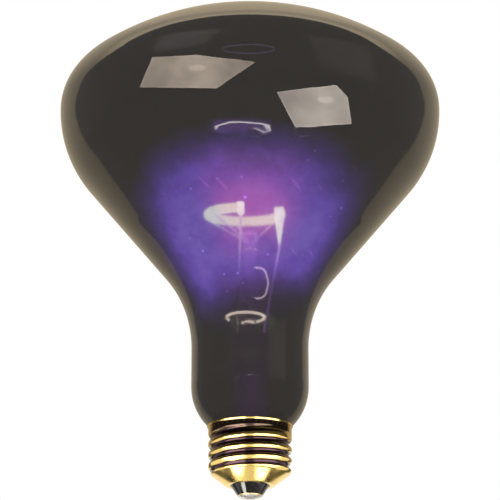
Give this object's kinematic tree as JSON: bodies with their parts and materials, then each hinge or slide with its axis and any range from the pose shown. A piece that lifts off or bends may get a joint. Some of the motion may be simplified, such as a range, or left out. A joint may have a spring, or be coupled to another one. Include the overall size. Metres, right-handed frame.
{
  "type": "mushroom incandescent bulb",
  "caption": "Reflector-shaped glass bulb with a broad domed head, a dark violet tint, a lit ring filament on its stem and a brass screw cap.",
  "frame": {"origin": "the tip of the solder dome on the centre contact, which is the lamp's lowest point with the cap down", "axes": "+Z runs along the lamp's axis from the cap to the dome; -Y faces the picture's viewer; +X is to the viewer's right"},
  "size_m": [0.127, 0.127, 0.1639],
  "materials": {
    "glass_envelope": "clear blown glass, tinted nearly black violet",
    "screw_shell": "rolled, polished and slightly worn",
    "base_insulator": "black glass, fire polished",
    "centre_contact": "stamped",
    "contact_solder": "bright solder",
    "side_solder": "bright solder",
    "basing_cement": "cured, matt",
    "stem_flare": "clear",
    "exhaust_tube": "clear",
    "arbor_rod": "clear",
    "seal_wire_side": "copper clad",
    "seal_wire_front": "copper clad",
    "outer_lead_side": "drawn copper",
    "outer_lead_contact": "drawn copper",
    "lead_side": "drawn nickel",
    "lead_front": "drawn nickel",
    "lead_clamp_side": "pressed nickel",
    "lead_clamp_front": "pressed nickel",
    "filament": "glowing tungsten",
    "tie_loop": "drawn wire",
    "getter_ring": "bent wire, coated",
    "support_wire_1": "drawn wire",
    "support_wire_2": "drawn wire",
    "support_wire_3": "drawn wire",
    "support_wire_4": "drawn wire"
  },
  "bodies": {
    "root": {"glass_envelope": "glass_envelope", "screw_shell": "screw_shell", "base_insulator": "base_insulator", "centre_contact": "centre_contact", "contact_solder": "contact_solder", "side_solder": "side_solder", "basing_cement": "basing_cement", "stem_flare": "stem_flare", "exhaust_tube": "exhaust_tube", "arbor_rod": "arbor_rod", "seal_wire_side": "seal_wire_side", "seal_wire_front": "seal_wire_front", "outer_lead_side": "outer_lead_side", "outer_lead_contact": "outer_lead_contact", "lead_side": "lead_side", "lead_front": "lead_front", "lead_clamp_side": "lead_clamp_side", "lead_clamp_front": "lead_clamp_front", "filament": "filament", "tie_loop": "tie_loop", "getter_ring": "getter_ring", "support_wire_1": "support_wire_1", "support_wire_2": "support_wire_2", "support_wire_3": "support_wire_3", "support_wire_4": "support_wire_4"}
  },
  "joints": []
}
